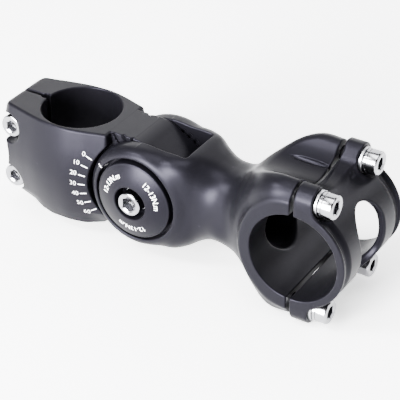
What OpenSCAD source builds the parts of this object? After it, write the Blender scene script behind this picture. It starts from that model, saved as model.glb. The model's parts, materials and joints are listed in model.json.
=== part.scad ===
// Adjustable handlebar stem: a steerer clamp and a forked extension on a toothed pivot,
// with a four-bolt faceplate for the handlebar.
// X runs forward from the steerer axis to the handlebar, Y runs across, Z runs up.
// The origin is on the steerer axis, halfway up the steerer clamp.

/* [Steerer clamp] */
// Bore for the steerer tube
steerer_d = 28.6; // [23.8:0.1:34.4]
// Height of the steerer clamp along the steerer tube
body_h = 38.2; // [32:0.1:46]
// Wall round the steerer bore at its top edge
clamp_wall = 2.1; // [1.8:0.1:3]
// How far the clamp's sides bulge past their top edge at mid-height
side_bulge = 1.5; // [0.5:0.1:2.5]
// Width of the slit at the back
slit_w = 1.6; // [1:0.1:2.4]
// Distance from the bore's wall back to the clamp bolts' axes
steerer_bolt_back = 8.1; // [7:0.1:10]
// Distance from the clamp's top or bottom face to the nearer bolt's axis
steerer_bolt_inset = 8.9; // [7.5:0.1:11]
// Half-width of the rear lugs
lug_half_w = 11.4; // [9.6:0.1:13.6]

/* [Pivot] */
// Distance from the steerer bore's wall forward to the pivot axis
pivot_reach = 17.7; // [17:0.1:22]
// Largest tilt of the extension above level, in degrees
tilt_max = 60; // [50:5:70]
// Width of the tongue between the fork's ears
tongue_w = 17.6; // [14.6:0.1:21.2]
// Gap on each side between the tongue and an ear
ear_clear = 0.3; // [0.25:0.05:0.5]
// Thickness of each ear
ear_t = 6.7; // [6:0.1:8.2]
// Radius of the recess for a pivot cap
cap_recess_r = 15; // [13:0.1:15.3]
// Height of the teeth on the tongue and ears
tooth_h = 0.5; // [0.3:0.1:0.8]
// Number of teeth in a full turn
tooth_count = 36; // [24:12:48]
// Outside diameter of the pivot sleeve
sleeve_d = 14; // [12:0.1:16.8]
// Diameter of the pivot bolt's shank
pivot_bolt_d = 6; // [5:0.1:7.2]

/* [Handlebar clamp] */
// Distance from the steerer axis to the handlebar axis with the stem level
stem_length = 96; // [92:1:130]
// Height of the handlebar axis above the middle of the steerer clamp
bar_rise = 2.4; // [0:0.1:4]
// Bore for the handlebar
bar_d = 31.8; // [26.5:0.1:38.2]
// Wall of the faceplate in front of the handlebar
face_wall = 2.7; // [2.2:0.1:4]
// Width of the handlebar clamp
bar_clamp_w = 42.6; // [38:0.1:52]
// Gap between the extension and the faceplate
face_gap = 1.4; // [0.8:0.1:2]
// Distance between the face bolts' axes across the stem
face_bolt_dy = 31.1; // [29:0.1:34]
// Distance from the handlebar bore's wall to a face bolt's axis
face_bolt_out = 4.4; // [4:0.1:5.5]
// Width of the window in the faceplate
window_w = 16.4; // [12:0.1:19]
// Height of the window in the faceplate
window_h = 27; // [20:0.5:30]

/* [Fasteners] */
// Shank diameter of the clamp bolts
bolt_d = 5; // [4.2:0.1:6]
// Head diameter of the clamp bolts
head_d = 8.5; // [8:0.1:9.2]
// Head height of the clamp bolts
head_h = 5.2; // [4.5:0.1:6]
// Distance across the flats of a bolt's hex socket
hex_af = 4; // [3:0.5:5]
// Thickness of a washer
washer_t = 1; // [0.8:0.1:1.4]

/* [Hidden] */

// Clearances shared by every fit, and the overrun of every cutting shape
run_fit = 0.05;     // radial, for a pin or a bolt that turns in its own hole
bolt_clear = 0.25;  // radial, for a bolt that passes through a plain hole
round_clear = 0.5;  // between curved faces of pieces that turn past each other
cut = 1;            // how far a cutting shape runs past the face it opens
$fn = 64;

// Steerer clamp
half_h = body_h / 2;
bore_r = steerer_d / 2;
barrel_r = bore_r + clamp_wall;
steerer_bolt_x = -(bore_r + steerer_bolt_back);
steerer_bolt_z = half_h - steerer_bolt_inset;
lug_r = head_d / 2 + 0.1;
waist_r = 12.5;        // the hollow between the two rear lugs, seen from the side
waist_x = steerer_bolt_x - 1.9 - waist_r;
spot_r = head_d / 2 + 1;
near_lug_t = lug_half_w - head_h + 0.9;
lug_corner_r = 2.2;    // rounding of the lugs' rear corners, seen from above
shoulder_corner_r = 1; // rounding of the shoulders' front corners, seen from above
shoulder_half_w = barrel_r - 3.8;
blank_front = 60;      // the blanks run past the pivot and are cut back to it
layer_t = 0.2;         // thickness of each slab that the clamp's blank is hulled from

// Pivot
pivot_x = bore_r + pivot_reach;
tongue_half = tongue_w / 2;
ear_in = tongue_half + ear_clear;
ear_out = ear_in + ear_t;
ear_r = half_h;
rim_r = cap_recess_r + 0.4;
shoulder_r = ear_r + 2 * round_clear;
shoulder_flare = 1.6;
shoulder_clear = 1.9;  // between a shoulder's top corner and the ears at full tilt
shoulder_x = pivot_x - (half_h * (1 - cos(tilt_max)) + shoulder_clear) / sin(tilt_max);
cap_seat_y = ear_in + 3.1;
nose_r = 16.2;
slot_end = nose_r + round_clear;
sleeve_r = sleeve_d / 2;
sleeve_l = 2 * cap_seat_y;
tooth_in_r = sleeve_r + 3;
groove_half = PI * rim_r / tooth_count * 0.9;
cap_r = cap_recess_r - 0.7;
cap_rim_y = ear_out + 0.6;
cap_top_y = cap_rim_y + 2.9;
cap_web = 1.3;
cap_bore_r = pivot_bolt_d / 2 + bolt_clear;
pivot_head_r = pivot_bolt_d / 2 + 1.3;
pivot_head_y = ear_out + 2.9;
pivot_pocket_r = pivot_head_r + 0.8;
pivot_washer_t = 0.8;
nut_af = pivot_bolt_d + 4;
nut_h = 4.4;
nut_y = cap_seat_y + cap_web;
dome_rise = cap_top_y - cap_rim_y;
dome_r = (cap_r * cap_r + dome_rise * dome_rise) / (2 * dome_rise);

// Handlebar clamp
bar_r = bar_d / 2;
face_r = bar_r + face_wall;
clamp_half_w = bar_clamp_w / 2;
split_x = stem_length - 1.8;
face_x = split_x + face_gap;
face_bolt_y = face_bolt_dy / 2;
face_bolt_dz = bar_r + face_bolt_out;
boss_r = clamp_half_w - face_bolt_y;
seat_t = 6.4;          // faceplate under a washer
seat_x = face_x + seat_t;
bolt_grip = 8;         // length of thread that holds a face bolt
washer_r = head_d / 2 + 0.45;
valley_r = 16;         // the dips between the bolt bosses
valley_wall = 2.7;
hollow_x = slot_end + 7;  // back end of the neck's hollow, from the pivot axis
hollow_r_back = 8;
hollow_r_front = 9;
head_bevel = 0.5;
thread_r = bolt_d / 2 + run_fit;
plain_r = bolt_d / 2 + bolt_clear;

// A cylinder of radius r from y0 to y1 along Y
module along_y(r, y0, y1, r2 = -1)
    translate([0, y0, 0])
        rotate([-90, 0, 0])
            cylinder(r1 = r, r2 = r2 < 0 ? r : r2, h = y1 - y0);

// A cylinder of radius r from x0 to x1 along X
module along_x(r, x0, x1)
    translate([x0, 0, 0])
        rotate([0, 90, 0])
            cylinder(r = r, h = x1 - x0);

// A side view outline in X and Z, made solid from y0 to y1
module side_solid(y0, y1)
    translate([0, y1, 0])
        rotate([90, 0, 0])
            linear_extrude(y1 - y0)
                children();

// Where a groove between two teeth ends: in the gap behind the ears the tongue's
// grooves run out through its flat top
function groove_end(a, gap_open) =
    gap_open && a > 104 && a < 126 ? half_h / sin(a) + cut : rim_r + 2;

// Radial V grooves that leave teeth on a face at y; dir is the side the face looks to
module tooth_grooves(y, dir, gap_open) {
    for (i = [0 : tooth_count - 1]) {
        a = (i + 0.5) * 360 / tooth_count;
        rotate([0, -a, 0])
            translate([tooth_in_r, y, 0])
                rotate([90, 0, 90])
                    linear_extrude(groove_end(a, gap_open) - tooth_in_r)
                        polygon([
                            [dir * 0.1, groove_half],
                            [dir * 0.1, -groove_half],
                            [-dir * tooth_h, 0]
                        ]);
    }
}

// A socket head screw along +X from the underside of its head, head towards +X
module screw(shank_r, shank_l, h_r, h_h, af) {
    difference() {
        union() {
            along_x(shank_r, -shank_l, 0);
            along_x(h_r, 0, h_h - head_bevel);
            translate([h_h - head_bevel, 0, 0])
                rotate([0, 90, 0])
                    cylinder(r1 = h_r, r2 = h_r - head_bevel, h = head_bevel);
        }
        translate([h_h - af * 0.65, 0, 0])
            rotate([0, 90, 0])
                cylinder(r = af / sqrt(3), h = af, $fn = 6);
    }
}

// Steerer clamp body: barrel, lugs, shoulders and tongue

// The plan outline of the clamp, grown by g all round
module clamp_plan(g) {
    circle(r = barrel_r + g, $fn = 48);
    for (side = [-1, 1]) {
        translate([steerer_bolt_x - lug_r + 3, side * (lug_half_w - lug_corner_r)])
            circle(r = lug_corner_r + g, $fn = 24);
        translate([shoulder_x - shoulder_corner_r, side * (shoulder_half_w - shoulder_corner_r)])
            circle(r = shoulder_corner_r + g, $fn = 16);
    }
}

// Slabs of the blank: height as a share of the half-height, and growth of the outline there
barrel_layers = [
    [1, -0.5], [0.975, 0], [0.7, side_bulge * 0.55], [0.4, side_bulge * 0.88], [0, side_bulge],
    [-0.4, side_bulge * 0.8], [-0.7, side_bulge * 0.1], [-0.9, -side_bulge * 0.5], [-1, 0.4 - clamp_wall]
];

module barrel_blank()
    hull()
        for (layer = barrel_layers)
            translate([0, 0, layer[0] * (half_h - layer_t / 2)])
                linear_extrude(layer_t, center = true)
                    clamp_plan(layer[1]);

// Side view of the rear of the clamp: two round lugs with a waist between them
module rear_side_view()
    difference() {
        hull() {
            translate([-bore_r / 3, -half_h])
                square([blank_front, body_h]);
            for (side = [-1, 1])
                translate([steerer_bolt_x, side * steerer_bolt_z])
                    circle(r = lug_r, $fn = 48);
            translate([steerer_bolt_x + 1, half_h - 1])
                square(1);
        }
        translate([waist_x, 0])
            circle(r = waist_r);
    }

// Side view of the tongue, measured from the pivot: its top is cut back so that the
// fork's end wall clears it up to the full tilt
module tongue_side_view() {
    circle(r = nose_r, $fn = 96);
    polygon([
        [-pivot_x, half_h],
        [(nose_r - half_h * sin(tilt_max)) / cos(tilt_max), half_h],
        [nose_r * cos(tilt_max), nose_r * sin(tilt_max)],
        [0, 0],
        [0, -nose_r],
        [-12, -half_h + 1],
        [-pivot_x, -half_h + 1]
    ]);
}

module steerer_clamp() {
    color([0.10, 0.10, 0.12])
        difference() {
            union() {
                difference() {
                    intersection() {
                        barrel_blank();
                        side_solid(-40, 40)
                            rear_side_view();
                    }
                    // room for the ears in front of each shoulder
                    translate([pivot_x, 0, 0])
                        for (side = [-1, 1]) {
                            scale([1, side, 1]) {
                                along_y(shoulder_r, tongue_half, 40);
                                along_y(shoulder_r, tongue_half + 3.4, tongue_half + 8.4, shoulder_r + shoulder_flare);
                            }
                        }
                    for (side = [-1, 1])
                        translate([shoulder_x, side < 0 ? -40 : tongue_half, 6])
                            cube([40, 40 - tongue_half, 40]);
                }
                intersection() {
                    translate([pivot_x, 0, 0])
                        side_solid(-tongue_half, tongue_half)
                            tongue_side_view();
                    translate([0, -20, -40])
                        cube([80, 40, 80]);
                }
            }
            // bore, slit and its relief
            cylinder(r = bore_r, h = body_h + 2 * cut, center = true);
            translate([steerer_bolt_x - 12, -slit_w / 2, -half_h - cut])
                cube([bore_r + steerer_bolt_back - 2, slit_w, body_h + 2 * cut]);
            translate([-bore_r - 1.2, 0, 0])
                cylinder(r = slit_w, h = body_h + 2 * cut, center = true);
            // clamp bolt holes: spot face and plain hole on the right, thread on the left
            for (side = [-1, 1])
                translate([steerer_bolt_x, 0, side * steerer_bolt_z]) {
                    along_y(spot_r, -30, -near_lug_t);
                    along_y(plain_r, -near_lug_t - cut, 0);
                    along_y(thread_r, -0.1, 30);
                }
            // pivot bore and teeth
            translate([pivot_x, 0, 0]) {
                along_y(sleeve_r + run_fit, -tongue_half - cut, tongue_half + cut);
                tooth_grooves(-tongue_half, -1, true);
                tooth_grooves(tongue_half, 1, true);
            }
        }
}

// Extension: forked ears, neck and the rear half of the handlebar clamp

// One ear, turned about the pivot axis, from its inner face out to its rim
module ear() {
    steps = 8;
    rotate([90, 0, 0])
        rotate_extrude($fn = 96)
            polygon(concat(
                [[0, ear_in], [ear_r, ear_in]],
                [for (i = [1 : steps])
                    let (t = i / steps * 90)
                    [rim_r + (ear_r - rim_r) * cos(t), ear_in + 0.6 + (ear_t - 0.6) * sin(t)]],
                [[0, ear_out]]
            ));
}

// Sections of the forging: x, half-width, top, bottom, roundness
neck_x = pivot_x + 31;
sections = [
    [pivot_x + 1, ear_out - 0.2, ear_r - 0.1, -ear_r + 0.6, 4.6],
    [pivot_x + 8, ear_out - 0.1, ear_r - 0.1, -ear_r + 0.3, 4.2],
    [pivot_x + 14, ear_out - 0.3, ear_r - 0.1, -ear_r + 1, 4],
    [pivot_x + 18, ear_out - 1, ear_r - 0.4, -ear_r + 2.6, 3.6],
    [pivot_x + 22, ear_out - 1.8, ear_r - 1.7, -ear_r + 4.9, 3.1],
    [pivot_x + 26, ear_out - 2.1, ear_r - 3.3, -ear_r + 7, 2.7],
    [neck_x, ear_out - 1.9, ear_r - 4.2, -ear_r + 8.2, 2.4],
    [neck_x + (split_x - neck_x) * 0.16, ear_out - 1.1, bar_rise + bar_r - 2.4, bar_rise - bar_r + 0.9, 2.5],
    [neck_x + (split_x - neck_x) * 0.34, clamp_half_w - 3.6, bar_rise + bar_r + 3, bar_rise - bar_r - 1.8, 2.9],
    [neck_x + (split_x - neck_x) * 0.54, clamp_half_w - 1.2, bar_rise + face_bolt_dz + 3.4,
        bar_rise - face_bolt_dz - 2, 4.4],
    [neck_x + (split_x - neck_x) * 0.72, clamp_half_w - 0.2, bar_rise + face_bolt_dz + boss_r - 0.3,
        bar_rise - face_bolt_dz - boss_r + 0.6, 6],
    [split_x, clamp_half_w, bar_rise + face_bolt_dz + boss_r, bar_rise - face_bolt_dz - boss_r, 6]
];
ring = 32;

function bend(v, e) = sign(v) * pow(abs(v), 2 / e);
function section_point(s, a) = [
    s[0],
    s[1] * bend(cos(a), s[4]),
    (s[2] + s[3]) / 2 + (s[2] - s[3]) / 2 * bend(sin(a), s[4])
];

// A closed skin through a list of sections
module loft(list) {
    n = len(list);
    points = [for (s = list) for (k = [0 : ring - 1]) section_point(s, (k + 0.5) * 360 / ring)];
    sides = [for (i = [0 : n - 2]) for (k = [0 : ring - 1]) each
        let (a = i * ring + k, b = i * ring + (k + 1) % ring)
        [[a, b + ring, b], [a, a + ring, b + ring]]];
    polyhedron(
        points,
        concat(sides, [[for (k = [0 : ring - 1]) k]], [[for (k = [ring - 1 : -1 : 0]) (n - 1) * ring + k]]),
        convexity = 4
    );
}

// Places children at each face bolt's axis; side +1 is left, level +1 is upper
module at_face_bolt(side, level)
    translate([0, side * face_bolt_y, bar_rise + level * face_bolt_dz])
        children();

// The dips between the bolt bosses, above and below the handlebar
module clamp_valleys(x0, x1)
    for (level = [-1, 1])
        translate([0, 0, bar_rise + level * (bar_r + valley_wall + valley_r)])
            along_x(valley_r, x0, x1);

module extension() {
    color([0.10, 0.10, 0.12])
        difference() {
            union() {
                translate([pivot_x, 0, 0])
                    for (side = [-1, 1])
                        scale([1, side, 1])
                            ear();
                loft(sections);
            }
            // slot for the tongue
            translate([pivot_x - 40, -ear_in, -40])
                cube([40 + slot_end, 2 * ear_in, 80]);
            // pivot bore, cap recesses and teeth
            translate([pivot_x, 0, 0]) {
                along_y(sleeve_r + run_fit, -ear_out - cut, ear_out + cut);
                for (side = [-1, 1])
                    scale([1, side, 1])
                        along_y(cap_recess_r, cap_seat_y, ear_out + cut);
                tooth_grooves(-ear_in, 1, false);
                tooth_grooves(ear_in, -1, false);
            }
            // handlebar bore, hollow neck and dips
            translate([stem_length, 0, bar_rise])
                along_y(bar_r, -clamp_half_w - cut, clamp_half_w + cut);
            translate([pivot_x + hollow_x, 0, bar_rise])
                rotate([0, 90, 0])
                    cylinder(r1 = hollow_r_back, r2 = hollow_r_front, h = stem_length - pivot_x - hollow_x);
            clamp_valleys(neck_x + 11, split_x + cut);
            // threads for the face bolts
            for (side = [-1, 1], level = [-1, 1])
                at_face_bolt(side, level)
                    along_x(thread_r, split_x - bolt_grip - 1, split_x + cut);
        }
}

// Faceplate
module faceplate() {
    color([0.10, 0.10, 0.12])
        difference() {
            union() {
                intersection() {
                    translate([stem_length, 0, bar_rise])
                        along_y(face_r, -clamp_half_w, clamp_half_w);
                    translate([face_x, -40, -40])
                        cube([40, 80, 80]);
                }
                for (side = [-1, 1], level = [-1, 1])
                    at_face_bolt(side, level) {
                        along_x(boss_r, face_x, seat_x);
                        translate([face_x, -boss_r, level > 0 ? -7 : 0])
                            cube([seat_x - face_x, 2 * boss_r, 7]);
                    }
                for (level = [-1, 1])
                    translate([face_x, -face_bolt_y, bar_rise + level * (bar_r + 2.5) - 2.5])
                        cube([seat_x - face_x - 1, face_bolt_dy, 5]);
            }
            translate([stem_length, 0, bar_rise])
                along_y(bar_r, -clamp_half_w - cut, clamp_half_w + cut);
            clamp_valleys(face_x - cut, seat_x + cut);
            // window
            translate([stem_length, 0, bar_rise]) {
                for (level = [-1, 1])
                    translate([0, 0, level * (window_h - window_w) / 2])
                        along_x(window_w / 2, 0, face_r + cut);
                translate([0, -window_w / 2, -(window_h - window_w) / 2])
                    cube([face_r + cut, window_w, window_h - window_w]);
            }
            for (side = [-1, 1], level = [-1, 1])
                at_face_bolt(side, level) {
                    along_x(plain_r, face_x - cut, seat_x + cut);
                    along_x(washer_r + 0.4, seat_x, seat_x + 20);
                }
        }
}

// Fasteners of the handlebar clamp
module face_bolt(side, level)
    color([0.78, 0.78, 0.80])
        at_face_bolt(side, level)
            translate([seat_x + washer_t, 0, 0])
                screw(bolt_d / 2, seat_x + washer_t - split_x + bolt_grip, head_d / 2, head_h, hex_af);

module face_washer(side, level)
    color([0.70, 0.70, 0.72])
        at_face_bolt(side, level)
            difference() {
                along_x(washer_r, seat_x, seat_x + washer_t);
                along_x(plain_r, seat_x - cut, seat_x + washer_t + cut);
            }

module steerer_bolt(level)
    color([0.78, 0.78, 0.80])
        translate([steerer_bolt_x, -near_lug_t, level * steerer_bolt_z])
            rotate([0, 0, -90])
                screw(bolt_d / 2, near_lug_t + lug_half_w - 2, head_d / 2, head_h, hex_af);

// Pivot hardware
module pivot_bolt()
    color([0.78, 0.78, 0.80])
        translate([pivot_x, -nut_y - pivot_washer_t, 0])
            rotate([0, 0, -90])
                screw(pivot_bolt_d / 2, 2 * nut_y + pivot_washer_t + nut_h, pivot_head_r,
                    pivot_head_y - nut_y - pivot_washer_t, hex_af + 1);

module pivot_washer()
    color([0.70, 0.70, 0.72])
        translate([pivot_x, 0, 0])
            difference() {
                along_y(pivot_head_r + 0.3, -nut_y - pivot_washer_t, -nut_y);
                along_y(cap_bore_r, -nut_y - pivot_washer_t - cut, -nut_y + cut);
            }

module pivot_nut()
    color([0.70, 0.70, 0.72])
        translate([pivot_x, nut_y, 0])
            rotate([-90, 0, 0])
                difference() {
                    cylinder(r = nut_af / sqrt(3), h = nut_h, $fn = 6);
                    translate([0, 0, -cut])
                        cylinder(r = pivot_bolt_d / 2 + run_fit, h = nut_h + 2 * cut);
                }

module pivot_sleeve()
    color([0.62, 0.62, 0.64])
        translate([pivot_x, 0, 0])
            difference() {
                along_y(sleeve_r, -sleeve_l / 2, sleeve_l / 2);
                along_y(cap_bore_r, -sleeve_l / 2 - cut, sleeve_l / 2 + cut);
            }

// A domed cap that seats in an ear's recess; side +1 is left
module pivot_cap(side)
    translate([pivot_x, 0, 0])
        scale([1, side, 1])
            difference() {
                intersection() {
                    along_y(cap_r, cap_seat_y, cap_top_y + cut);
                    translate([0, cap_top_y - dome_r, 0])
                        sphere(r = dome_r, $fn = 128);
                }
                along_y(cap_bore_r, 0, 40);
                children();
            }

module pivot_cap_right()
    color([0.08, 0.08, 0.10])
        pivot_cap(-1)
            along_y(pivot_pocket_r, nut_y, 40);

module pivot_cap_left()
    color([0.08, 0.08, 0.10])
        pivot_cap(1)
            translate([0, nut_y, 0])
                rotate([-90, 0, 0])
                    cylinder(r = nut_af / sqrt(3) + 0.15, h = 40, $fn = 6);

steerer_clamp();
extension();
faceplate();
steerer_bolt(1);  // steerer_bolt_upper
steerer_bolt(-1);  // steerer_bolt_lower
face_bolt(-1, 1);  // face_bolt_upper_right
face_bolt(1, 1);  // face_bolt_upper_left
face_bolt(-1, -1);  // face_bolt_lower_right
face_bolt(1, -1);  // face_bolt_lower_left
face_washer(-1, 1);  // face_washer_upper_right
face_washer(1, 1);  // face_washer_upper_left
face_washer(-1, -1);  // face_washer_lower_right
face_washer(1, -1);  // face_washer_lower_left
pivot_bolt();
pivot_washer();
pivot_nut();
pivot_sleeve();
pivot_cap_right();
pivot_cap_left();
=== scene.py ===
import json
import math
import bpy
import numpy as np
from mathutils import Matrix, Vector


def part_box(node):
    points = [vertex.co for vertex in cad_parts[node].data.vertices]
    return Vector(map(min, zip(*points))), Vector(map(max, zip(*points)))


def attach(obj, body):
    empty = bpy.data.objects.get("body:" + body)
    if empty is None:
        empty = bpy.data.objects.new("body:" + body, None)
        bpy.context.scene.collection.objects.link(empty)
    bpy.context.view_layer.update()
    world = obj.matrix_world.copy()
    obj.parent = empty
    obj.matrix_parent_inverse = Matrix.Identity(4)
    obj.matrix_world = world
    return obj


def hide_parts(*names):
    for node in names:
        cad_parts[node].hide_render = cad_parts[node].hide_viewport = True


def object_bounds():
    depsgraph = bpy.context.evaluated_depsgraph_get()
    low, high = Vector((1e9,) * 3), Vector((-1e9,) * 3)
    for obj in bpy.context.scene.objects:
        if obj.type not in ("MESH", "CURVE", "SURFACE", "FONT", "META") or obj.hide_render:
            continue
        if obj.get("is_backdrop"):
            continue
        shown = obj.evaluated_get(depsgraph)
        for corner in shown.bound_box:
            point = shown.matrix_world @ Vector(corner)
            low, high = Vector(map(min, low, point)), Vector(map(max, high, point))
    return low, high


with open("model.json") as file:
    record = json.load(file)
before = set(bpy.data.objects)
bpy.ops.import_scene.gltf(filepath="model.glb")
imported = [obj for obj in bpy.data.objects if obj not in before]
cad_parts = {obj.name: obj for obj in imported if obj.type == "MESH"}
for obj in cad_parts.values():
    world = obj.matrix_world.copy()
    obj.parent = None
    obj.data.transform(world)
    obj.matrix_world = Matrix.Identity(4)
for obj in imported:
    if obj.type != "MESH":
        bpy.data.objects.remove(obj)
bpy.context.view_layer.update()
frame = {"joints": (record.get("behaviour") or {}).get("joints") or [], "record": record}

MM = 0.001
PALE = (0.93, 0.93, 0.94)

# Sizes in mm, read from the CAD nodes where they can be
def node_box(name):
    """Lowest and highest corner of a CAD node in mm."""
    a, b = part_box(name)
    return [c / MM for c in a], [c / MM for c in b]


joint_at = {j["name"]: j for j in frame["joints"]}
mount_at = {m["name"]: m for m in frame["record"]["mounts"]}
PIVOT_X = joint_at["tilt"]["pos_m"][0] / MM
BAR_X, _, BAR_Z = [c / MM for c in mount_at["handlebar_clamp"]["pos_m"]]
BAR_R = mount_at["handlebar_clamp"]["dims"]["r_mm"]
BORE_R = mount_at["steerer_clamp"]["dims"]["r_mm"]
HALF_H = mount_at["steerer_clamp"]["dims"]["length_mm"] / 2
CLAMP_HALF_W = mount_at["handlebar_clamp"]["dims"]["length_mm"] / 2
TILT_MAX = math.radians(60)

BARREL_R = 16.4
SIDE_BULGE = 1.5
STEERER_BOLT_X = -22.4
STEERER_BOLT_Z = 10.2
LUG_R = 4.35
LUG_HALF_W = 11.4
NEAR_SEAT_Y = -7.1
SPOT_R = 5.25
TONGUE_HALF = 8.8
EAR_IN = 9.1
EAR_OUT = 15.8
EAR_R = 19.1
RIM_R = 15.4
RECESS_R = 15.6
CAP_SEAT_Y = 12.2
NOSE_R = 16.2
SLOT_END = 16.7
SHOULDER_R = 20.1
SHOULDER_X = PIVOT_X - (HALF_H * (1 - math.cos(TILT_MAX)) + 1.9) / math.sin(TILT_MAX)
TOOTH_COUNT = 36
SPLIT_X = 94.2
FACE_X = 95.6
SEAT_X = 102.0
FACE_R = BAR_R + 2.7
FACE_BOLT_Y = 15.55
FACE_BOLT_DZ = 20.3
BOSS_R = 5.75
VALLEY_R = 16.0
VALLEY_WALL = 2.7
WINDOW_W = 16.4
WINDOW_H = 27.0

# ---------------------------------------------------------------- shape fields
# Each body is a field: the distance in mm to its surface, negative inside.


def union(a, b, r=0.0):
    """Both shapes, with a fillet of radius r where they meet."""
    if r <= 0:
        return np.minimum(a, b)
    return np.maximum(r, np.minimum(a, b)) - np.hypot(np.maximum(r - a, 0), np.maximum(r - b, 0))


def common(a, b, r=0.0):
    """What two shapes share, its edge rounded by radius r."""
    if r <= 0:
        return np.maximum(a, b)
    return np.minimum(-r, np.maximum(a, b)) + np.hypot(np.maximum(r + a, 0), np.maximum(r + b, 0))


def less(a, b, r=0.0):
    """Shape a with b cut out of it, the cut's edge rounded by radius r."""
    return common(a, -b, r)


def soft_union(a, b, k):
    """Both shapes, melted together over a width k."""
    h = np.maximum(k - np.abs(a - b), 0) / k
    return np.minimum(a, b) - h * h * k / 4


def smooth_step(t):
    t = np.clip(t, 0, 1)
    return t * t * (3 - 2 * t)


class Hull:
    """The outline round a set of circles (u, v, radius), as a distance."""

    def __init__(self, circles):
        n = 7200
        th = np.arange(n) * 2 * np.pi / n
        c, s = np.cos(th), np.sin(th)
        sup = np.array([u * c + v * s + r for u, v, r in circles])
        who = sup.argmax(0)
        starts = [i for i in range(n) if who[i] != who[i - 1]]
        self.edges = [(c[i], s[i], sup[:, i].max()) for i in starts]
        self.arcs = []
        for i, j in zip(starts, starts[1:] + starts[:1]):
            u, v, r = circles[who[i]]
            self.arcs.append((u, v, r, c[i], s[i], c[j], s[j]))

    def __call__(self, u, v):
        d = None
        for c, s, h in self.edges:
            e = u * c + v * s - h
            d = e if d is None else np.maximum(d, e)
        for cu, cv, r, c0, s0, c1, s1 in self.arcs:
            du, dv = u - cu, v - cv
            inside = (c0 * dv - s0 * du >= 0) & (c1 * dv - s1 * du <= 0)
            d = np.where(inside, np.maximum(d, np.hypot(du, dv) - r), d)
        return d


def curve(points):
    """A smooth curve through (place, value) points, as a function."""
    p = np.array(sorted(points), float)
    x, y = p[:, 0], p[:, 1]
    m = np.gradient(y, x)
    fine = np.linspace(x[0], x[-1], 600)
    k = np.clip(np.searchsorted(x, fine) - 1, 0, len(x) - 2)
    h = x[k + 1] - x[k]
    t = (fine - x[k]) / h
    val = ((2 * t**3 - 3 * t**2 + 1) * y[k] + (t**3 - 2 * t**2 + t) * h * m[k]
           + (-2 * t**3 + 3 * t**2) * y[k + 1] + (t**3 - t**2) * h * m[k + 1])
    return lambda q: np.interp(q, fine, val)


def tooth_depth(u, v, rr, limit):
    """Depth of the grooves between the pivot's teeth at (u, v) from the pivot."""
    step = 2 * np.pi / TOOTH_COUNT
    a = np.arctan2(v, u)
    off = np.abs((a / step) % 1 - 0.5) * step * rr
    depth = np.clip(0.5 - off * 0.5, 0, 0.5)
    return depth * smooth_step((rr - 9.8) / 0.5) * smooth_step((limit - rr) / 0.5)


# Half-width of the clamp seen from above, along X
clamp_w = curve([
    (-30, 10.6), (-26.8, 11.4), (-22, 12.4), (-15, 14.2), (-8, 15.75), (-2, 16.35), (3, 16.3),
    (9, 15.15), (14, 13.7), (19, 12.2), (24, 10.6),
])


def plan_field(x, y):
    """The clamp's outline seen from above, as a distance."""
    lean = (clamp_w(x + 0.5) - clamp_w(x - 0.5)) / np.hypot(1, clamp_w(x + 0.5) - clamp_w(x - 0.5))
    side = (np.abs(y) - clamp_w(x)) * np.sqrt(1 - lean * lean)
    side = common(side, STEERER_BOLT_X - LUG_R - x, 4.2)
    return common(side, x - SHOULDER_X, 1.0)


rear_hull = Hull([
    (STEERER_BOLT_X, STEERER_BOLT_Z, LUG_R),
    (STEERER_BOLT_X, -STEERER_BOLT_Z, LUG_R),
    (STEERER_BOLT_X - 0.9, HALF_H - 3, 3),
    (-BORE_R / 3, 0.1 - HALF_H, 0.1),
    (60, HALF_H - 0.1, 0.1),
    (SHOULDER_X - 7, 9 - HALF_H, 9),
])
NOSE_BEND = 14.0
tongue_hull = Hull([
    (0, 0, NOSE_R),
    (-PIVOT_X, HALF_H - 0.05, 0.05),
    ((NOSE_R - NOSE_BEND - (HALF_H - NOSE_BEND) * math.sin(TILT_MAX)) / math.cos(TILT_MAX),
     HALF_H - NOSE_BEND, NOSE_BEND),
    (-12, 1.05 - HALF_H, 0.05),
    (-PIVOT_X, 1.05 - HALF_H, 0.05),
])
growth = curve([
    (-1, -1.9), (-0.9, -1.25), (-0.75, -0.35), (-0.5, 0.75), (-0.25, 1.5), (0, SIDE_BULGE + 0.4),
    (0.25, 1.75), (0.5, 1.2), (0.8, 0.1), (1, -0.75),
])


def clamp_field(x, y, z):
    ay = np.abs(y)
    u = x - PIVOT_X
    rp = np.hypot(u, z)
    swell = growth(z / HALF_H)
    blank = plan_field(x, y) - np.where((swell < 0) & (z < 0), swell * (1 + smooth_step((np.abs(x) - 8) / 7)), swell)
    waist = np.hypot(x - (STEERER_BOLT_X - 1.0 - 12.5), z) - 12.5
    side = less(rear_hull(x, z), waist, 1.2)
    body = common(blank, side, 0.75)
    room = common(rp - SHOULDER_R + 0.7 * smooth_step((ay - 11.0) / 4.5), TONGUE_HALF - ay)
    body = less(body, room, 0.45)
    front = np.maximum(np.maximum(SHOULDER_X - x, 6 - z), TONGUE_HALF - ay)
    body = less(body, front, 0.45)
    turn = np.degrees(np.arctan2(z, u))
    behind = (turn > 104) & (turn < 126)
    depth = tooth_depth(u, z, rp, np.where(behind, 23.0, 17.4)) * np.where(behind, 2.0, 1.0)
    tongue = common(tongue_hull(u, z), ay - TONGUE_HALF + depth, 0.35)
    tongue = np.maximum(tongue, -x)
    body = union(body, tongue)
    body = less(body, np.hypot(x, y) - BORE_R, 0.5)
    body = less(body, np.maximum(ay - 0.8, x + 12), 0.25)
    body = less(body, np.hypot(x + BORE_R + 1.2, y) - 1.6, 0.25)
    rb = np.minimum(np.hypot(x - STEERER_BOLT_X, z - STEERER_BOLT_Z),
                    np.hypot(x - STEERER_BOLT_X, z + STEERER_BOLT_Z))
    body = less(body, np.maximum(rb - SPOT_R, y - NEAR_SEAT_Y), 0.35)
    body = less(body, rb - np.where(y < 0, 2.75, 2.55), 0.25)
    return less(body, rp - 7.05, 0.2)


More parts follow.
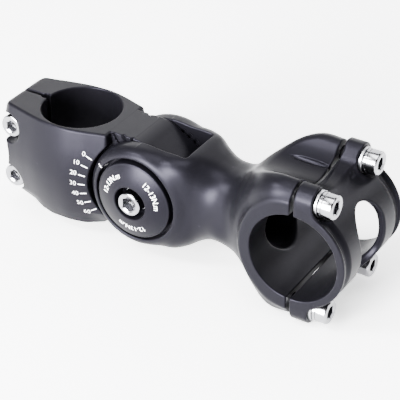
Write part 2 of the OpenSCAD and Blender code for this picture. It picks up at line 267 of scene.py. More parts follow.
# Stations of the forging along X: half-width, top, bottom, squareness
NECK_X = PIVOT_X + 31
RUN = SPLIT_X - NECK_X
stations = [
    (PIVOT_X - 2, EAR_OUT - 0.2, EAR_R - 0.1, -EAR_R + 0.6, 5.6),
    (PIVOT_X + 4, EAR_OUT - 0.15, EAR_R - 0.1, -EAR_R + 0.4, 5.4),
    (PIVOT_X + 8, EAR_OUT - 0.1, EAR_R - 0.1, -EAR_R + 0.3, 5.2),
    (PIVOT_X + 14, EAR_OUT - 0.2, EAR_R - 0.1, -EAR_R + 1, 5.0),
    (PIVOT_X + 18, EAR_OUT - 1.1, EAR_R - 0.4, -EAR_R + 2.6, 4.4),
    (PIVOT_X + 22, EAR_OUT - 2.3, EAR_R - 1.7, -EAR_R + 4.9, 3.3),
    (PIVOT_X + 26, EAR_OUT - 2.8, EAR_R - 3.3, -EAR_R + 7, 2.9),
    (NECK_X, EAR_OUT - 2.2, EAR_R - 4.2, -EAR_R + 8.2, 2.7),
    (NECK_X + RUN * 0.16, EAR_OUT - 1.1, BAR_Z + BAR_R - 2.4, BAR_Z - BAR_R + 0.9, 2.5),
    (NECK_X + RUN * 0.34, CLAMP_HALF_W - 3.6, BAR_Z + BAR_R + 3, BAR_Z - BAR_R - 1.8, 2.9),
    (NECK_X + RUN * 0.54, CLAMP_HALF_W - 1.2, BAR_Z + FACE_BOLT_DZ + 3.4, BAR_Z - FACE_BOLT_DZ - 2, 4.4),
    (NECK_X + RUN * 0.72, CLAMP_HALF_W - 0.2, BAR_Z + FACE_BOLT_DZ + BOSS_R - 0.3,
     BAR_Z - FACE_BOLT_DZ - BOSS_R + 0.6, 6),
    (SPLIT_X, CLAMP_HALF_W, BAR_Z + FACE_BOLT_DZ + BOSS_R, BAR_Z - FACE_BOLT_DZ - BOSS_R, 6),
    (SPLIT_X + 3, CLAMP_HALF_W, BAR_Z + FACE_BOLT_DZ + BOSS_R, BAR_Z - FACE_BOLT_DZ - BOSS_R, 6),
]
half_w_at = curve([(s[0], s[1]) for s in stations])
top_at = curve([(s[0], s[2]) for s in stations])
low_at = curve([(s[0], s[3]) for s in stations])
square_at = curve([(s[0], s[4]) for s in stations])


def forging_field(x, y, z):
    """The forged outline: a squared oval that changes along X, as a distance."""
    w, e = half_w_at(x), square_at(x)
    mid, half = (top_at(x) + low_at(x)) / 2, (top_at(x) - low_at(x)) / 2
    slope = np.maximum(np.abs(np.gradient(top_at(np.linspace(PIVOT_X, SPLIT_X, 400)),
                                          np.linspace(PIVOT_X, SPLIT_X, 400))), 0)
    lean = np.interp(x, np.linspace(PIVOT_X, SPLIT_X, 400), slope)
    low_side = 0.22 * np.exp(-((x - NECK_X) / 7.5) ** 2)
    w = w * (1 - low_side * np.clip((z - mid) / half, -1, 1))
    a = np.abs(y / w) + 1e-9
    b = np.abs((z - mid) / half) + 1e-9
    pa, pb = a ** (e - 1), b ** (e - 1)
    total = pa * a + pb * b
    f = total ** (1 / e)
    scale = total ** (1 / e - 1)
    grad = np.hypot(scale * pa / w, scale * pb / half)
    return (f - 1) / np.maximum(grad, 0.02) / np.sqrt(1 + lean * lean)


def ear_field(rp, ay):
    """One ear: a disc with a rounded outer edge."""
    a, b = EAR_R - RIM_R - 0.4, EAR_OUT - EAR_IN - 2.2
    p, q = np.maximum(rp - RIM_R - 0.4, 0), np.maximum(ay - EAR_IN - 2.2, 0)
    k1 = np.hypot(p / a, q / b)
    k2 = np.hypot(p / (a * a), q / (b * b)) + 1e-6
    bend = k1 * (k1 - 1) / k2
    flat = np.maximum(rp - EAR_R, ay - EAR_OUT)
    return np.where((p > 0) & (q > 0), bend, flat)


def valleys(y, z, extra=0.0):
    """The dips between the bolt bosses, above and below the handlebar."""
    dz = BAR_R + VALLEY_WALL + VALLEY_R + extra
    return np.minimum(np.hypot(y, z - BAR_Z - dz), np.hypot(y, z - BAR_Z + dz)) - VALLEY_R


def bolt_holes(y, z):
    """Distance from the nearest face bolt's axis."""
    return np.hypot(np.abs(y) - FACE_BOLT_Y, np.abs(z - BAR_Z) - FACE_BOLT_DZ)


def extension_field(x, y, z):
    ay = np.abs(y)
    u = x - PIVOT_X
    rp = np.hypot(u, z)
    forging = np.maximum(forging_field(x, y, z), PIVOT_X - x)
    body = soft_union(forging, ear_field(rp, ay), 1.6)
    rbar = np.hypot(x - BAR_X, z - BAR_Z)
    collar = common(rbar - BAR_R - 4.4, ay - CLAMP_HALF_W, 1.0)
    body = soft_union(body, collar, 3.0)
    body = less(body, valleys(y, z), 1.6)
    crease = np.sqrt(((x - 87.3) / 7.5) ** 2 + ((ay - 5.8) / 1.1) ** 2 + ((z - 22.4) / 1.5) ** 2)
    body = less(body, (crease - 1) * 0.7, 0.1)
    body = common(body, x - SPLIT_X, 0.5)
    body = common(body, ay - CLAMP_HALF_W, 0.5)
    depth = tooth_depth(u, z, rp, 17.4)
    corner = 1.4
    slot = common(ay - EAR_IN - depth, u - SLOT_END, corner)
    body = less(body, slot, 0.5)
    body = less(body, np.maximum(rp - RECESS_R, CAP_SEAT_Y - ay), 0.45)
    body = less(body, rp - 7.05, 0.2)
    body = less(body, rbar - BAR_R, 0.5)
    run = np.clip((x - (PIVOT_X + SLOT_END + 7)) / 25, 0, 1)
    hollow = common(np.hypot(y, z - BAR_Z + 1.2 * run) - 8 - 2.2 * run, PIVOT_X + SLOT_END + 7 - x, 2)
    body = less(body, hollow, 0.5)
    return less(body, np.maximum(bolt_holes(y, z) - 2.55, SPLIT_X - 9 - x), 0.2)


def faceplate_field(x, y, z):
    ay, dz = np.abs(y), np.abs(z - BAR_Z)
    rbar = np.hypot(x - BAR_X, z - BAR_Z)
    lip = 1.0 * smooth_step((ay - 15.6) / 2.4) * smooth_step((20.1 - ay) / 0.9)
    shell = common(rbar - FACE_R + lip, ay - CLAMP_HALF_W, 0.5)
    rb = bolt_holes(y, z)
    ear_block = np.maximum(ay - CLAMP_HALF_W, FACE_BOLT_Y - BOSS_R - ay)
    ear_block = np.maximum(ear_block, np.maximum(dz - FACE_BOLT_DZ, FACE_BOLT_DZ - 7 - dz))
    ear = union(rb - BOSS_R, ear_block)
    ear = common(ear, x - SEAT_X, 0.6)
    bridge = np.maximum(np.maximum(ay - FACE_BOLT_Y, np.abs(dz - BAR_R - 2.5) - 2.5), x - SEAT_X + 1)
    body = soft_union(shell, union(ear, bridge, 1.0), 3.6)
    body = common(body, FACE_X - x, 0.5)
    tab = np.maximum(np.maximum(SPLIT_X + 0.3 - x, x - FACE_X - 1), np.maximum(ay - 10.5, BAR_R + 0.3 - (z - BAR_Z)))
    body = union(body, np.maximum(tab, z - BAR_Z - FACE_BOLT_DZ))
    body = common(body, ay - CLAMP_HALF_W, 0.5)
    body = less(body, valleys(y, z), 1.6)
    body = less(body, rbar - BAR_R, 0.45)
    reach = (WINDOW_H - WINDOW_W) / 2
    window = np.hypot(y, np.maximum(dz - reach, 0)) - WINDOW_W / 2
    window = np.maximum(window, BAR_X - x)
    body = less(body, window, 0.9)
    body = less(body, np.maximum(rb - 5.1, SEAT_X - x), 0.3)
    return less(body, rb - 2.75, 0.2)


# ---------------------------------------------------------------- field to mesh
CORNERS = [(0, 0, 0), (1, 0, 0), (0, 1, 0), (1, 1, 0), (0, 0, 1), (1, 0, 1), (0, 1, 1), (1, 1, 1)]
EDGES = [(0, 1), (2, 3), (4, 5), (6, 7), (0, 2), (1, 3), (4, 6), (5, 7), (0, 4), (1, 5), (2, 6), (3, 7)]


def slope_of(field, p, step=0.04):
    """The field's gradient at points p."""
    g = np.empty_like(p)
    for k in range(3):
        hi, lo = p.copy(), p.copy()
        hi[:, k] += step
        lo[:, k] -= step
        g[:, k] = (field(*hi.T) - field(*lo.T)) / (2 * step)
    return g


def field_mesh(field, low, high, cell):
    """Vertices (mm), quads and normals of a field's zero surface."""
    ax = [np.arange(low[k] - 1.6 * cell, high[k] + 2.6 * cell, cell) for k in range(3)]
    f = field(ax[0][:, None, None], ax[1][None, :, None], ax[2][None, None, :])
    f = np.ascontiguousarray(np.broadcast_to(f, [len(a) for a in ax]), np.float32)
    neg = f < 0
    n = [s - 1 for s in f.shape]
    count = np.zeros(n, np.int8)
    for c in CORNERS:
        count += neg[c[0]:c[0] + n[0], c[1]:c[1] + n[1], c[2]:c[2] + n[2]]
    ci, cj, ck = np.nonzero((count > 0) & (count < 8))
    index = np.full(n, -1, np.int64)
    index[ci, cj, ck] = np.arange(len(ci))
    val = np.stack([f[ci + c[0], cj + c[1], ck + c[2]] for c in CORNERS], 1).astype(float)
    at = np.array(CORNERS, float)
    total, hits = np.zeros((len(ci), 3)), np.zeros(len(ci))
    for a, b in EDGES:
        cross = (val[:, a] < 0) != (val[:, b] < 0)
        t = np.where(cross, val[:, a] / np.where(cross, val[:, a] - val[:, b], 1), 0)
        total += np.where(cross[:, None], at[a] + t[:, None] * (at[b] - at[a]), 0)
        hits += cross
    base = np.stack([ax[0][ci], ax[1][cj], ax[2][ck]], 1)
    p = base + cell * total / hits[:, None]
    quads = []
    for axis in range(3):
        o1, o2 = (axis + 1) % 3, (axis + 2) % 3
        lo_side = [slice(None)] * 3
        hi_side = [slice(None)] * 3
        lo_side[axis], hi_side[axis] = slice(0, -1), slice(1, None)
        a, b = neg[tuple(lo_side)], neg[tuple(hi_side)]
        for flip in (False, True):
            where = np.stack(np.nonzero((a & ~b) if not flip else (~a & b)), 1)
            keep = (where[:, o1] > 0) & (where[:, o2] > 0) & (where[:, o1] < n[o1]) & (where[:, o2] < n[o2])
            where = where[keep]
            ring = []
            for d1, d2 in ((1, 1), (0, 1), (0, 0), (1, 0)):
                w = where.copy()
                w[:, o1] -= d1
                w[:, o2] -= d2
                ring.append(index[w[:, 0], w[:, 1], w[:, 2]])
            quad = np.stack(ring if not flip else ring[::-1], 1)
            quads.append(quad[(quad >= 0).all(1)])
    for _ in range(3):
        g = slope_of(field, p)
        size = (g * g).sum(1) + 1e-6
        move = -(field(*p.T) / size)[:, None] * g
        length = np.linalg.norm(move, axis=1) + 1e-9
        p = p + move * np.minimum(1, 0.5 * cell / length)[:, None]
    g = slope_of(field, p, 0.09)
    normal = g / (np.linalg.norm(g, axis=1) + 1e-9)[:, None]
    return p, np.concatenate(quads), normal


def make_piece(name, verts, faces, normals=None, sharp=None):
    """A mesh object from vertices in mm."""
    me = bpy.data.meshes.new(name)
    me.from_pydata([tuple(v) for v in np.asarray(verts, float) * MM], [], [list(map(int, q)) for q in faces])
    me.validate()
    me.shade_smooth()
    if normals is not None:
        me.normals_split_custom_set_from_vertices([tuple(v) for v in normals])
    elif sharp:
        me.set_sharp_from_angle(angle=math.radians(sharp))
    ob = bpy.data.objects.new(name, me)
    bpy.context.scene.collection.objects.link(ob)
    return ob


def finish_piece(ob, body, material, slot, *nodes):
    ob.data.materials.clear()
    ob.data.materials.append(material)
    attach(ob, body)
    if nodes:
        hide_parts(*nodes)
    return ob


# ---------------------------------------------------------------- turned pieces
def lathe(profile, hex_af=0, hex_depth=0, seg=72):
    """A piece turned about +X from (x, radius) points; a hex socket can end it."""
    verts, faces = [], []
    ang = [2 * math.pi * k / seg for k in range(seg)]
    rings = []

    def ring(x, radius_of):
        start = len(verts)
        for a in ang:
            r = radius_of(a)
            verts.append((x, r * math.cos(a), r * math.sin(a)))
        rings.append(start)

    def cap(x, start, flip):
        verts.append((x, 0, 0))
        c = len(verts) - 1
        for k in range(seg):
            tri = (start + k, start + (k + 1) % seg, c)
            faces.append(tri[::-1] if flip else tri)

    for x, r in profile:
        ring(x, lambda a, r=r: r)
    if hex_af:
        top = profile[-1][0]

        def hexed(a):
            return hex_af / 2 / math.cos((a + math.pi / 6) % (math.pi / 3) - math.pi / 6)
        ring(top - 0.3, hexed)
        ring(top - hex_depth, hexed)
        ring(top - hex_depth, lambda a: hexed(a) * 0.8)
    for a, b in zip(rings, rings[1:]):
        for k in range(seg):
            faces.append((a + k, a + (k + 1) % seg, b + (k + 1) % seg, b + k))
    closed = profile[0] == profile[-1] and not hex_af
    if not closed:
        cap(profile[0][0], rings[0], True)
        end = profile[-1][0] - (hex_depth + hex_af * 0.2 if hex_af else 0)
        cap(end, rings[-1], False)
    return np.array(verts), [f[::-1] for f in faces]


def socket_screw(r, length, head_r, head_h, af):
    """A socket head screw: shank towards -X from the head's underside at 0."""
    pts = [(-length, r - 0.5), (-length + 0.5, r), (-0.2, r), (0, r + 0.12), (0, head_r - 0.35)]
    pts += [(0.35, head_r - 0.02), (1.15, head_r - 0.02), (1.3, head_r - 0.28), (1.5, head_r - 0.28), (1.65, head_r)]
    edge = 0.7
    for k in range(7):
        t = math.pi / 2 * k / 6
        pts.append((head_h - edge + edge * math.sin(t), head_r - edge + edge * math.cos(t)))
    pts.append((head_h, af / math.sqrt(3) + 0.42))
    pts.append((head_h - 0.12, af / math.sqrt(3) + 0.18))
    return lathe(pts, af, af * 0.65)


def turned(verts, matrix):
    m = np.array(matrix)
    return verts @ m[:3, :3].T + m[:3, 3]


TO_MINUS_Y = Matrix.Rotation(math.radians(-90), 4, "Z")
TO_PLUS_Y = Matrix.Rotation(math.radians(90), 4, "Z")


# ---------------------------------------------------------------- materials
def new_material(name):
    m = bpy.data.materials.new(name)
    m.use_nodes = True
    nt = m.node_tree
    return m, nt, nt.nodes["Principled BSDF"]


def link(nt, a, b):
    nt.links.new(a, b)


def coated_metal(name, base, rough, grain_mm, grain_bump, painted_highlight_gain, level, tint):
    """Black anodised metal: fine grain, uneven sheen, and a painted highlight that lifts the colour of sharp edges a
    little.
    """
    m, nt, sh = new_material(name)
    tc = nt.nodes.new("ShaderNodeTexCoord")
    grain = nt.nodes.new("ShaderNodeTexNoise")
    grain.inputs["Scale"].default_value = 1 / (grain_mm * MM)
    grain.inputs["Detail"].default_value = 3
    cloud = nt.nodes.new("ShaderNodeTexNoise")
    cloud.inputs["Scale"].default_value = 160
    cloud.inputs["Detail"].default_value = 2
    link(nt, tc.outputs["Object"], grain.inputs["Vector"])
    link(nt, tc.outputs["Object"], cloud.inputs["Vector"])
    ramp = nt.nodes.new("ShaderNodeMapRange")
    ramp.inputs["To Min"].default_value = rough - 0.05
    ramp.inputs["To Max"].default_value = rough + 0.05
    link(nt, cloud.outputs["Fac"], ramp.inputs["Value"])
    link(nt, ramp.outputs["Result"], sh.inputs["Roughness"])
    geo = nt.nodes.new("ShaderNodeNewGeometry")
    # Painted highlight: the base colour is lifted along sharp edges (Pointiness), in place of the bright line that
    # light draws on the edge fillets.
    edge = nt.nodes.new("ShaderNodeMapRange")
    edge.inputs["From Min"].default_value = 0.53
    edge.inputs["From Max"].default_value = 0.64
    link(nt, geo.outputs["Pointiness"], edge.inputs["Value"])
    painted_highlight_mix = nt.nodes.new("ShaderNodeMix")
    painted_highlight_mix.data_type = "RGBA"
    painted_highlight_mix.inputs["A"].default_value = (*base, 1)
    painted_highlight_mix.inputs["B"].default_value = (*[min(1, c * (1 + painted_highlight_gain)) for c in base], 1)
    link(nt, edge.outputs["Result"], painted_highlight_mix.inputs["Factor"])
    link(nt, painted_highlight_mix.outputs["Result"], sh.inputs["Base Color"])
    bump = nt.nodes.new("ShaderNodeBump")
    bump.inputs["Strength"].default_value = grain_bump
    bump.inputs["Distance"].default_value = grain_mm * MM * 0.2
    link(nt, grain.outputs["Fac"], bump.inputs["Height"])
    link(nt, bump.outputs["Normal"], sh.inputs["Normal"])
    sh.inputs["Specular IOR Level"].default_value = level
    sh.inputs["Specular Tint"].default_value = (*tint, 1)
    return m


def bare_metal(name, base, rough, grain_mm, bump_strength):
    """Plated or bare steel: faint grain, uneven gloss, and edges rubbed brighter."""
    m, nt, sh = new_material(name)
    tc = nt.nodes.new("ShaderNodeTexCoord")
    grain = nt.nodes.new("ShaderNodeTexNoise")
    grain.inputs["Scale"].default_value = 1 / (grain_mm * MM)
    grain.inputs["Detail"].default_value = 4
    link(nt, tc.outputs["Object"], grain.inputs["Vector"])
    ramp = nt.nodes.new("ShaderNodeMapRange")
    ramp.inputs["To Min"].default_value = max(0.03, rough - 0.06)
    ramp.inputs["To Max"].default_value = rough + 0.08
    link(nt, grain.outputs["Fac"], ramp.inputs["Value"])
    link(nt, ramp.outputs["Result"], sh.inputs["Roughness"])
    tint = nt.nodes.new("ShaderNodeMix")
    tint.data_type = "RGBA"
    tint.inputs["A"].default_value = (*[c * 0.9 for c in base], 1)
    tint.inputs["B"].default_value = (*base, 1)
    link(nt, grain.outputs["Fac"], tint.inputs["Factor"])
    geo = nt.nodes.new("ShaderNodeNewGeometry")
    edge = nt.nodes.new("ShaderNodeMapRange")
    edge.inputs["From Min"].default_value = 0.54
    edge.inputs["From Max"].default_value = 0.68
    link(nt, geo.outputs["Pointiness"], edge.inputs["Value"])
    worn = nt.nodes.new("ShaderNodeMix")
    worn.data_type = "RGBA"
    worn.inputs["B"].default_value = (*[min(1, c * 1.4) for c in base], 1)
    link(nt, edge.outputs["Result"], worn.inputs["Factor"])
    link(nt, tint.outputs["Result"], worn.inputs["A"])
    link(nt, worn.outputs["Result"], sh.inputs["Base Color"])
    bump = nt.nodes.new("ShaderNodeBump")
    bump.inputs["Strength"].default_value = bump_strength
    bump.inputs["Distance"].default_value = 0.00004
    link(nt, grain.outputs["Fac"], bump.inputs["Height"])
    link(nt, bump.outputs["Normal"], sh.inputs["Normal"])
    sh.inputs["Metallic"].default_value = 1.0
    return m


# The 2.0 is the gain of the painted edge highlight: sharp edges take up to three times the base colour.
forged = coated_metal("black_forging", (0.0022, 0.0021, 0.0028), 0.35, 0.35, 0.25, 2.0, 0.06, (0.80, 0.77, 1.0))
cap_black = coated_metal("black_cap", (0.0018, 0.0017, 0.0024), 0.30, 0.3, 0.12, 2.0, 0.06, (0.80, 0.77, 1.0))
chrome = bare_metal("bright_bolt", (0.27, 0.27, 0.285), 0.15, 0.5, 0.03)
zinc = bare_metal("zinc_steel", (0.34, 0.34, 0.36), 0.28, 0.4, 0.10)

# ---------------------------------------------------------------- the forgings
CELL = 0.36
for node, body, field in (
    ("steerer_clamp", "clamp", clamp_field),
    ("extension", "extension", extension_field),
    ("faceplate", "faceplate", faceplate_field),
):
    low, high = node_box(node)
    verts, quads, normals = field_mesh(field, low, high, CELL)
    piece = make_piece(node + "_forged", verts, quads, normals)
    finish_piece(piece, body, forged, "black_forging", node)

# ---------------------------------------------------------------- fasteners
HEAD_LIFT = 0.02
for level, side in ((1, -1), (1, 1), (-1, -1), (-1, 1)):
    tag = ("upper" if level > 0 else "lower") + ("_right" if side < 0 else "_left")
    place = np.array([0, side * FACE_BOLT_Y, BAR_Z + level * FACE_BOLT_DZ])
    v, f = socket_screw(2.5, 15.8, 4.25, 5.2, 4)
    ob = make_piece("face_screw_" + tag, v + place + [SEAT_X + 1 + HEAD_LIFT, 0, 0], f, sharp=32)
    finish_piece(ob, "face_bolt_" + tag, chrome, "bright_bolt", "face_bolt_" + tag)
    ring = [(0, 2.75), (0, 4.4), (0.15, 4.5), (0.85, 4.5), (1, 4.4), (1, 2.75), (0, 2.75)]
    v, f = lathe(ring)
    ob = make_piece("face_ring_" + tag, v + place + [SEAT_X, 0, 0], f, sharp=32)
    finish_piece(ob, "faceplate", zinc, "zinc_steel", "face_washer_" + tag)

for level, tag in ((1, "upper"), (-1, "lower")):
    v, f = socket_screw(2.5, 16.5, 4.25, 5.2, 4)
    v = turned(v, TO_MINUS_Y) + [STEERER_BOLT_X, NEAR_SEAT_Y, level * STEERER_BOLT_Z]
    ob = make_piece("clamp_screw_" + tag, v, f, sharp=32)
    finish_piece(ob, "steerer_bolt_" + tag, chrome, "bright_bolt", "steerer_bolt_" + tag)

# ---------------------------------------------------------------- pivot
NUT_Y = 13.5
v, f = socket_screw(3.0, 32.2, 4.3, 5.3, 5)
v = turned(v, TO_MINUS_Y) + [PIVOT_X, -NUT_Y - 0.8 - HEAD_LIFT, 0]
finish_piece(make_piece("pivot_screw", v, f, sharp=32), "pivot_bolt", chrome, "bright_bolt", "pivot_bolt")
ring = [(0, 3.25), (0, 4.5), (0.1, 4.6), (0.7, 4.6), (0.8, 4.5), (0.8, 3.25), (0, 3.25)]
v, f = lathe(ring)
v = turned(v, TO_MINUS_Y) + [PIVOT_X, -NUT_Y, 0]
finish_piece(make_piece("pivot_ring", v, f, sharp=32), "extension", zinc, "zinc_steel", "pivot_washer")
tube = [(-12.2, 3.25), (-12.2, 6.7), (-11.9, 7), (11.9, 7), (12.2, 6.7), (12.2, 3.25), (-12.2, 3.25)]
v, f = lathe(tube)
v = turned(v, TO_MINUS_Y) + [PIVOT_X, 0, 0]
finish_piece(make_piece("pivot_tube", v, f, sharp=32), "extension", zinc, "zinc_steel", "pivot_sleeve")



def nut_field(x, y, z):
    """A hex nut 10 mm across its flats, its corners chamfered at both ends."""
    u, rp = x - PIVOT_X, np.hypot(x - PIVOT_X, z)
    d = None
    for k in range(6):
        t = math.radians(30 + 60 * k)
        e = u * math.cos(t) + z * math.sin(t) - 5
        d = e if d is None else np.maximum(d, e)
    off = np.abs(y - NUT_Y - 2.2)
    d = common(d, off - 2.2, 0.12)
    d = common(d, (rp - 5.1 + (off - 2.2) * 1.7) * 0.5, 0.1)
    return less(d, rp - 3.05 - np.maximum(off - 1.8, 0), 0.05)


v, f, nn = field_mesh(nut_field, [PIVOT_X - 5.8, NUT_Y, -5], [PIVOT_X + 5.8, NUT_Y + 4.4, 5], 0.3)
finish_piece(make_piece("pivot_hex_nut", v, f, nn), "extension", zinc, "zinc_steel", "pivot_nut")

CAP_R, CAP_TOP_Y = 14.3, 19.3
DOME_R = (CAP_R * CAP_R + 2.9 * 2.9) / (2 * 2.9)


def dome_x(r):
    return CAP_TOP_Y - DOME_R + math.sqrt(DOME_R * DOME_R - r * r)


def cap_profile(hole_r):
    """(y, radius) points of a domed cap with a hole down to the web."""
    pts = [(CAP_SEAT_Y, 3.25), (CAP_SEAT_Y, CAP_R - 0.3), (CAP_SEAT_Y + 0.3, CAP_R)]
    rim = dome_x(CAP_R - 0.5)
    for k in range(7):
        t = math.pi / 2 * k / 6
        pts.append((rim - 0.55 + 0.5 * math.sin(t), CAP_R - 0.5 + 0.5 * math.cos(t)))
    steps = 24
    for k in range(1, steps + 1):
        r = CAP_R - 0.7 - (CAP_R - 0.7 - hole_r - 0.3) * k / steps
        pts.append((dome_x(r), r))
    pts += [(dome_x(hole_r) - 0.1, hole_r + 0.08), (dome_x(hole_r) - 0.35, hole_r),
            (NUT_Y, hole_r), (NUT_Y, 3.25), (CAP_SEAT_Y, 3.25)]
    return pts


v, f = lathe(cap_profile(6.1), seg=120)
v = turned(v, TO_MINUS_Y) + [PIVOT_X, 0, 0]
finish_piece(make_piece("domed_cap_right", v, f, sharp=32), "extension", cap_black, "black_cap", "pivot_cap_right")
v, f = lathe(cap_profile(6.2), seg=120)
v = turned(v, TO_PLUS_Y) + [PIVOT_X, 0, 0]
finish_piece(make_piece("domed_cap_left", v, f, sharp=32), "extension", cap_black, "black_cap", "pivot_cap_left")

# ---------------------------------------------------------------- printed marks
ink, nt, sh = new_material("print_white")
tc = nt.nodes.new("ShaderNodeTexCoord")
grain = nt.nodes.new("ShaderNodeTexNoise")
grain.inputs["Scale"].default_value = 5000
link(nt, tc.outputs["Object"], grain.inputs["Vector"])
worn = nt.nodes.new("ShaderNodeMix")
worn.data_type = "RGBA"
worn.inputs["A"].default_value = (0.75, 0.75, 0.77, 1)
worn.inputs["B"].default_value = (0.92, 0.92, 0.94, 1)
link(nt, grain.outputs["Fac"], worn.inputs["Factor"])
link(nt, worn.outputs["Result"], sh.inputs["Base Color"])
rough = nt.nodes.new("ShaderNodeMapRange")
rough.inputs["To Min"].default_value = 0.5
rough.inputs["To Max"].default_value = 0.7
link(nt, grain.outputs["Fac"], rough.inputs["Value"])
link(nt, rough.outputs["Result"], sh.inputs["Roughness"])
bump = nt.nodes.new("ShaderNodeBump")
bump.inputs["Strength"].default_value = 0.1
bump.inputs["Distance"].default_value = 0.00002
link(nt, grain.outputs["Fac"], bump.inputs["Height"])
link(nt, bump.outputs["Normal"], sh.inputs["Normal"])
LIFT = 0.03


def letters(words, cap_height, weight=0.0):
    """Flat letters as (points, faces) in mm, centred on their middle."""
    data = bpy.data.curves.new("words", "FONT")
    data.body = words
    data.size = cap_height / 0.7
    data.offset = weight
    data.align_x = "CENTER"
    data.resolution_u = 4
    ob = bpy.data.objects.new("words", data)
    bpy.context.scene.collection.objects.link(ob)
    me = bpy.data.meshes.new_from_object(ob.evaluated_get(bpy.context.evaluated_depsgraph_get()))
    pts = np.array([v.co[:2] for v in me.vertices]) - [0, cap_height / 2]
    faces = [list(q.vertices) for q in me.polygons]
    bpy.data.objects.remove(ob)
    bpy.data.meshes.remove(me)
    return pts, faces


def bar_mark(length, width):
    """A straight mark along u, split so that it can follow a curved face."""
    u = np.linspace(-length / 2, length / 2, 7)
    pts = np.concatenate([np.stack([u, u * 0 - width / 2], 1), np.stack([u, u * 0 + width / 2], 1)])
    return pts, [[k, k + 1, k + 8, k + 7] for k in range(6)]


def onto_side(field, x, z):
    """Y where the right-hand side face of a field lies at (x, z)."""
    y = np.full(len(x), -23.0)
    for _ in range(90):
        y += np.maximum(field(x, y, z), 0) * 0.7
    return y


def side_print(name, body, slot_name, field, pts, faces, x, z, turn=0.0):
    """Lays a flat mark on the right-hand side, its middle at (x, z), turned by an angle."""
    c, s = math.cos(turn), math.sin(turn)
    px = x + pts[:, 0] * c - pts[:, 1] * s
    pz = z + pts[:, 0] * s + pts[:, 1] * c
    py = onto_side(field, px, pz) - LIFT
    ob = make_piece(name, np.stack([px, py, pz], 1), faces)
    return finish_piece(ob, body, ink, slot_name)


for k in range(7):
    turn = math.radians(151.5 + 10 * k)
    c, s = math.cos(turn), math.sin(turn)
    pts, faces = bar_mark(2.4, 0.3)
    side_print("tick_%d" % (10 * k), "clamp", "black_forging", clamp_field, pts, faces,
               PIVOT_X + 21.5 * c, 21.5 * s, turn)
    pts, faces = letters(str(10 * k), 1.7, -0.045)
    reach = 23.6 if k == 0 else 24.5
    side_print("number_%d" % (10 * k), "clamp", "black_forging", clamp_field, pts, faces,
               PIVOT_X + reach * c, reach * s + 0.3)

turn = math.radians(147)
pts, faces = bar_mark(2.0, 0.3)
side_print("index_mark", "extension", "black_forging", extension_field, pts, faces,
           PIVOT_X + 16.4 * math.cos(turn), 16.4 * math.sin(turn), turn)

PRINT_R = 10.4
for k, middle in enumerate((31, 146, 271)):
    pts, faces = letters("12-13N.m", 1.9, 0.0)
    rho = PRINT_R + pts[:, 1]
    phi = math.radians(middle) - pts[:, 0] / PRINT_R
    py = -np.array([dome_x(q) for q in rho]) - LIFT
    v = np.stack([PIVOT_X + rho * np.cos(phi), py, rho * np.sin(phi)], 1)
    finish_piece(make_piece("torque_print_%d" % (k + 1), v, faces), "extension", ink, "black_cap")

# ---------------------------------------------------------------- stage
low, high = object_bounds()
floor_mat, nt, sh = new_material("floor")
sh.inputs["Base Color"].default_value = (*PALE, 1)
sh.inputs["Roughness"].default_value = 0.9
sh.inputs["Emission Color"].default_value = (1, 1, 1, 1)
sh.inputs["Emission Strength"].default_value = 1.3
SIDES = 96
outline = [(2.2, 0)] + [(2.2 + 0.6 * math.sin(t), 0.6 - 0.6 * math.cos(t)) for t in np.radians(np.arange(9, 91, 9))]
outline.append((2.8, 0.75))
verts = [(0, 0, low.z)]
faces = [(0, 1 + k, 1 + (k + 1) % SIDES) for k in range(SIDES)]
for n, (r, h) in enumerate(outline):
    verts += [(r * math.cos(2 * math.pi * k / SIDES), r * math.sin(2 * math.pi * k / SIDES), low.z + h) for k in range(SIDES)]
    if n:
        a, b = 1 + (n - 1) * SIDES, 1 + n * SIDES
        faces += [(a + k, b + k, b + (k + 1) % SIDES, a + (k + 1) % SIDES) for k in range(SIDES)]
me = bpy.data.meshes.new("floor")
me.from_pydata(verts, [], faces)
me.shade_smooth()
me.materials.append(floor_mat)
floor = bpy.data.objects.new("floor", me)
bpy.context.scene.collection.objects.link(floor)
floor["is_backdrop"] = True

world = bpy.data.worlds.new("studio")
bpy.context.scene.world = world
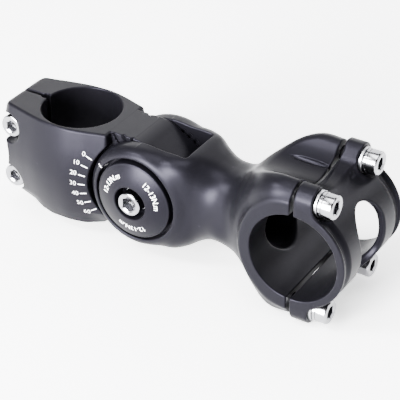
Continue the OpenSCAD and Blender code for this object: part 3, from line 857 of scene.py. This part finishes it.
world.use_nodes = True
back = world.node_tree.nodes["Background"]
back.inputs["Color"].default_value = (1, 1, 1, 1)
back.inputs["Strength"].default_value = 0.15


def area_light(name, place, target, size, power):
    data = bpy.data.lights.new(name, "AREA")
    data.shape = "RECTANGLE"
    data.size, data.size_y = size
    data.energy = power
    ob = bpy.data.objects.new(name, data)
    ob.location = place
    ob.rotation_euler = (Vector(target) - Vector(place)).to_track_quat("-Z", "Y").to_euler()
    ob.visible_camera = False
    bpy.context.scene.collection.objects.link(ob)
    return ob


centre = Vector((0.045, 0, 0))


def softbox(name, azimuth, elevation, distance, size, radiance):
    """A square softbox at an angle round the object; radiance is how bright its face looks."""
    az, el = math.radians(azimuth), math.radians(elevation)
    away = Vector((math.sin(az) * math.cos(el), -math.cos(az) * math.cos(el), math.sin(el)))
    area_light(name, centre + away * distance, centre, (size, size), radiance * math.pi * size * size)


softbox("front_low", -12, 9, 1.0, 0.45, 190)
softbox("front_mid", -18, 28, 1.0, 0.3, 90)
softbox("front_high", -40, 46, 1.0, 0.3, 90)
softbox("back", 211, 36, 1.1, 0.9, 5.5)
softbox("overhead", 10, 82, 1.0, 0.6, 16)
softbox("right", 100, 25, 1.1, 0.35, 9)
softbox("left", 160, 28, 1.1, 0.6, 10)

# ---------------------------------------------------------------- camera
AZ, EL, DIST = math.radians(31.40), math.radians(33.03), 0.54622
target = Vector((0.04856, 0, -0.00309))
away = Vector((math.sin(AZ) * math.cos(EL), -math.cos(AZ) * math.cos(EL), math.sin(EL)))
cam_data = bpy.data.cameras.new("camera")
cam_data.sensor_width = 36
cam_data.lens = 36 * 1587.32 / 400
cam_data.clip_start = 0.01
cam_data.clip_end = 20
cam = bpy.data.objects.new("camera", cam_data)
look = (-away).to_track_quat("-Z", "Y")
cam.location = target + away * DIST
cam.rotation_euler = (look @ Matrix.Rotation(math.radians(0.23), 3, "Z").to_quaternion()).to_euler()
bpy.context.scene.collection.objects.link(cam)
bpy.context.scene.camera = cam

low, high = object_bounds()
